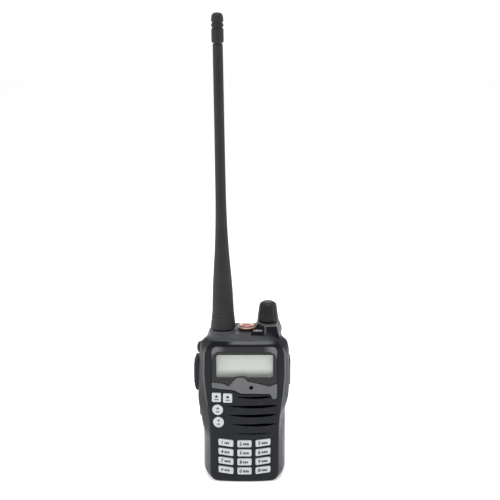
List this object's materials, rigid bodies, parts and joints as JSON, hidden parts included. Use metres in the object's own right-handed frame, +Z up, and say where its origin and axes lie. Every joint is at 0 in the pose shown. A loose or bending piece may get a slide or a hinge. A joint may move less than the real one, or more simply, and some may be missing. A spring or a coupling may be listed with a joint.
{
  "type": "handheld aviation radio",
  "caption": "Handheld aviation transceiver with a display, number pad, speaker slots, side press-to-talk button, tuning knob, tapered whip antenna, slide-off battery and belt clip.",
  "frame": {"origin": "centre of the flat bottom face that the radio stands on, midway between the front and the back", "axes": "+Z up along the antenna, the display and keys face -Y, +X to the viewer's right when facing the display"},
  "size_m": [0.0605, 0.0448, 0.2907],
  "materials": {
    "case_plastic": "fine textured charcoal",
    "rubber": "matt",
    "window": "clear, tinted black round the edge",
    "trim": "satin grey",
    "lcd": "grey-green",
    "key_white": "satin silver-white",
    "silicone": "matt",
    "circuit_board": "solder mask",
    "steel": "plated",
    "brass": "plated",
    "cast_aluminium": "black painted",
    "lamp_cream": "translucent",
    "lamp_red": "gloss",
    "legend_grey": "satin",
    "speaker_cloth": "woven",
    "cell_wrap": "shrink sleeve"
  },
  "bodies": {
    "radio": {"front_case": "case_plastic", "rear_chassis": "cast_aluminium", "display_window": "window", "display_bezel": "trim", "lcd_panel": "lcd", "keypad_mat": "silicone", "main_board": "circuit_board", "shield_can": "steel", "side_switch_board": "circuit_board", "speaker": "steel", "speaker_cloth": "speaker_cloth", "microphone": "steel", "accessory_jacks": "rubber", "battery_terminals": "brass", "antenna_jack": "brass", "encoder_body": "steel", "lamp_lens": "lamp_cream", "lamp_reflector": "lamp_red", "lamp_led": "lamp_red", "legend_plate": "legend_grey", "clip_bracket": "steel", "clip_pin": "steel", "clip_spring": "steel", "clip_screw_1": "steel", "clip_screw_2": "steel", "case_screw_1": "steel", "case_screw_2": "steel"},
    "key_1_body": {"key_1": "key_white"},
    "key_2_body": {"key_2": "key_white"},
    "key_3_body": {"key_3": "key_white"},
    "key_4_body": {"key_4": "key_white"},
    "key_5_body": {"key_5": "key_white"},
    "key_6_body": {"key_6": "key_white"},
    "key_7_body": {"key_7": "key_white"},
    "key_8_body": {"key_8": "key_white"},
    "key_9_body": {"key_9": "key_white"},
    "key_star_body": {"key_star": "key_white"},
    "key_0_body": {"key_0": "key_white"},
    "key_hash_body": {"key_hash": "key_white"},
    "key_menu_body": {"key_menu": "key_white"},
    "key_band_body": {"key_band": "key_white"},
    "key_up_body": {"key_up": "key_white"},
    "key_down_body": {"key_down": "key_white"},
    "ptt": {"ptt_button": "rubber"},
    "upper_side_key": {"side_key_upper": "rubber"},
    "lower_side_key": {"side_key_lower": "rubber"},
    "knob": {"tuning_knob": "rubber", "encoder_shaft": "steel"},
    "antenna_thread": {"antenna_plug": "brass"},
    "antenna": {"antenna_whip": "rubber", "antenna_tip": "rubber"},
    "jack_flap": {"jack_cover": "rubber"},
    "battery": {"battery_case": "case_plastic", "battery_cover": "case_plastic", "battery_cell_1": "cell_wrap", "battery_cell_2": "cell_wrap", "battery_contacts": "brass", "latch_spring": "steel"},
    "latch": {"battery_latch": "rubber"},
    "clip": {"belt_clip": "case_plastic"}
  },
  "joints": [
    {"name": "key_1_press", "type": "slide", "parent": "radio", "child": "key_1_body", "axis": [0, 1, 0], "range_m": [0, 0.0005], "stiffness_N_per_m": 1500},
    {"name": "key_2_press", "type": "slide", "parent": "radio", "child": "key_2_body", "axis": [0, 1, 0], "range_m": [0, 0.0005], "stiffness_N_per_m": 1500},
    {"name": "key_3_press", "type": "slide", "parent": "radio", "child": "key_3_body", "axis": [0, 1, 0], "range_m": [0, 0.0005], "stiffness_N_per_m": 1500},
    {"name": "key_4_press", "type": "slide", "parent": "radio", "child": "key_4_body", "axis": [0, 1, 0], "range_m": [0, 0.0005], "stiffness_N_per_m": 1500},
    {"name": "key_5_press", "type": "slide", "parent": "radio", "child": "key_5_body", "axis": [0, 1, 0], "range_m": [0, 0.0005], "stiffness_N_per_m": 1500},
    {"name": "key_6_press", "type": "slide", "parent": "radio", "child": "key_6_body", "axis": [0, 1, 0], "range_m": [0, 0.0005], "stiffness_N_per_m": 1500},
    {"name": "key_7_press", "type": "slide", "parent": "radio", "child": "key_7_body", "axis": [0, 1, 0], "range_m": [0, 0.0005], "stiffness_N_per_m": 1500},
    {"name": "key_8_press", "type": "slide", "parent": "radio", "child": "key_8_body", "axis": [0, 1, 0], "range_m": [0, 0.0005], "stiffness_N_per_m": 1500},
    {"name": "key_9_press", "type": "slide", "parent": "radio", "child": "key_9_body", "axis": [0, 1, 0], "range_m": [0, 0.0005], "stiffness_N_per_m": 1500},
    {"name": "key_star_press", "type": "slide", "parent": "radio", "child": "key_star_body", "axis": [0, 1, 0], "range_m": [0, 0.0005], "stiffness_N_per_m": 1500},
    {"name": "key_0_press", "type": "slide", "parent": "radio", "child": "key_0_body", "axis": [0, 1, 0], "range_m": [0, 0.0005], "stiffness_N_per_m": 1500},
    {"name": "key_hash_press", "type": "slide", "parent": "radio", "child": "key_hash_body", "axis": [0, 1, 0], "range_m": [0, 0.0005], "stiffness_N_per_m": 1500},
    {"name": "key_menu_press", "type": "slide", "parent": "radio", "child": "key_menu_body", "axis": [0, 1, 0], "range_m": [0, 0.0005], "stiffness_N_per_m": 1500},
    {"name": "key_band_press", "type": "slide", "parent": "radio", "child": "key_band_body", "axis": [0, 1, 0], "range_m": [0, 0.0005], "stiffness_N_per_m": 1500},
    {"name": "key_up_press", "type": "slide", "parent": "radio", "child": "key_up_body", "axis": [0, 1, 0], "range_m": [0, 0.0005], "stiffness_N_per_m": 1500},
    {"name": "key_down_press", "type": "slide", "parent": "radio", "child": "key_down_body", "axis": [0, 1, 0], "range_m": [0, 0.0005], "stiffness_N_per_m": 1500},
    {"name": "ptt_press", "type": "slide", "parent": "radio", "child": "ptt", "axis": [1, 0, 0], "range_m": [0, 0.0012], "stiffness_N_per_m": 1200},
    {"name": "upper_side_key_press", "type": "slide", "parent": "radio", "child": "upper_side_key", "axis": [1, 0, 0], "range_m": [0, 0.0008], "stiffness_N_per_m": 1500},
    {"name": "lower_side_key_press", "type": "slide", "parent": "radio", "child": "lower_side_key", "axis": [1, 0, 0], "range_m": [0, 0.0008], "stiffness_N_per_m": 1500},
    {"name": "knob_turn", "type": "hinge", "parent": "radio", "child": "knob", "pos_m": [0.0146, -0.0015, 0.1009], "axis": [0, 0, 1], "continuous": true},
    {"name": "antenna_lift", "type": "slide", "parent": "radio", "child": "antenna_thread", "axis": [0, 0, 1], "range_m": [0, 0.006]},
    {"name": "antenna_unscrew", "type": "hinge", "parent": "antenna_thread", "child": "antenna", "pos_m": [-0.0132, -0.003, 0.0968], "axis": [0, 0, 1], "range_deg": [0, 3060]},
    {"name": "jack_cover_open", "type": "hinge", "parent": "radio", "child": "jack_flap", "pos_m": [0.028, 0.0035, 0.069], "axis": [0, 0, 1], "range_deg": [0, 100], "stiffness_Nm_per_rad": 0.002},
    {"name": "battery_off", "type": "slide", "parent": "radio", "child": "battery", "axis": [0, 0, -1], "range_m": [0, 0.066]},
    {"name": "latch_slide", "type": "slide", "parent": "battery", "child": "latch", "axis": [0, 0, -1], "range_m": [0, 0.0018], "stiffness_N_per_m": 300, "deforming": ["latch_spring"]},
    {"name": "clip_open", "type": "hinge", "parent": "radio", "child": "clip", "pos_m": [0, 0.0212, 0.084], "axis": [1, 0, 0], "range_deg": [0, 23], "stiffness_Nm_per_rad": 0.4}
  ],
  "couplings": [
    {"joint": "antenna_unscrew", "follows": "antenna_lift", "rad_per_m": 8904.8}
  ]
}
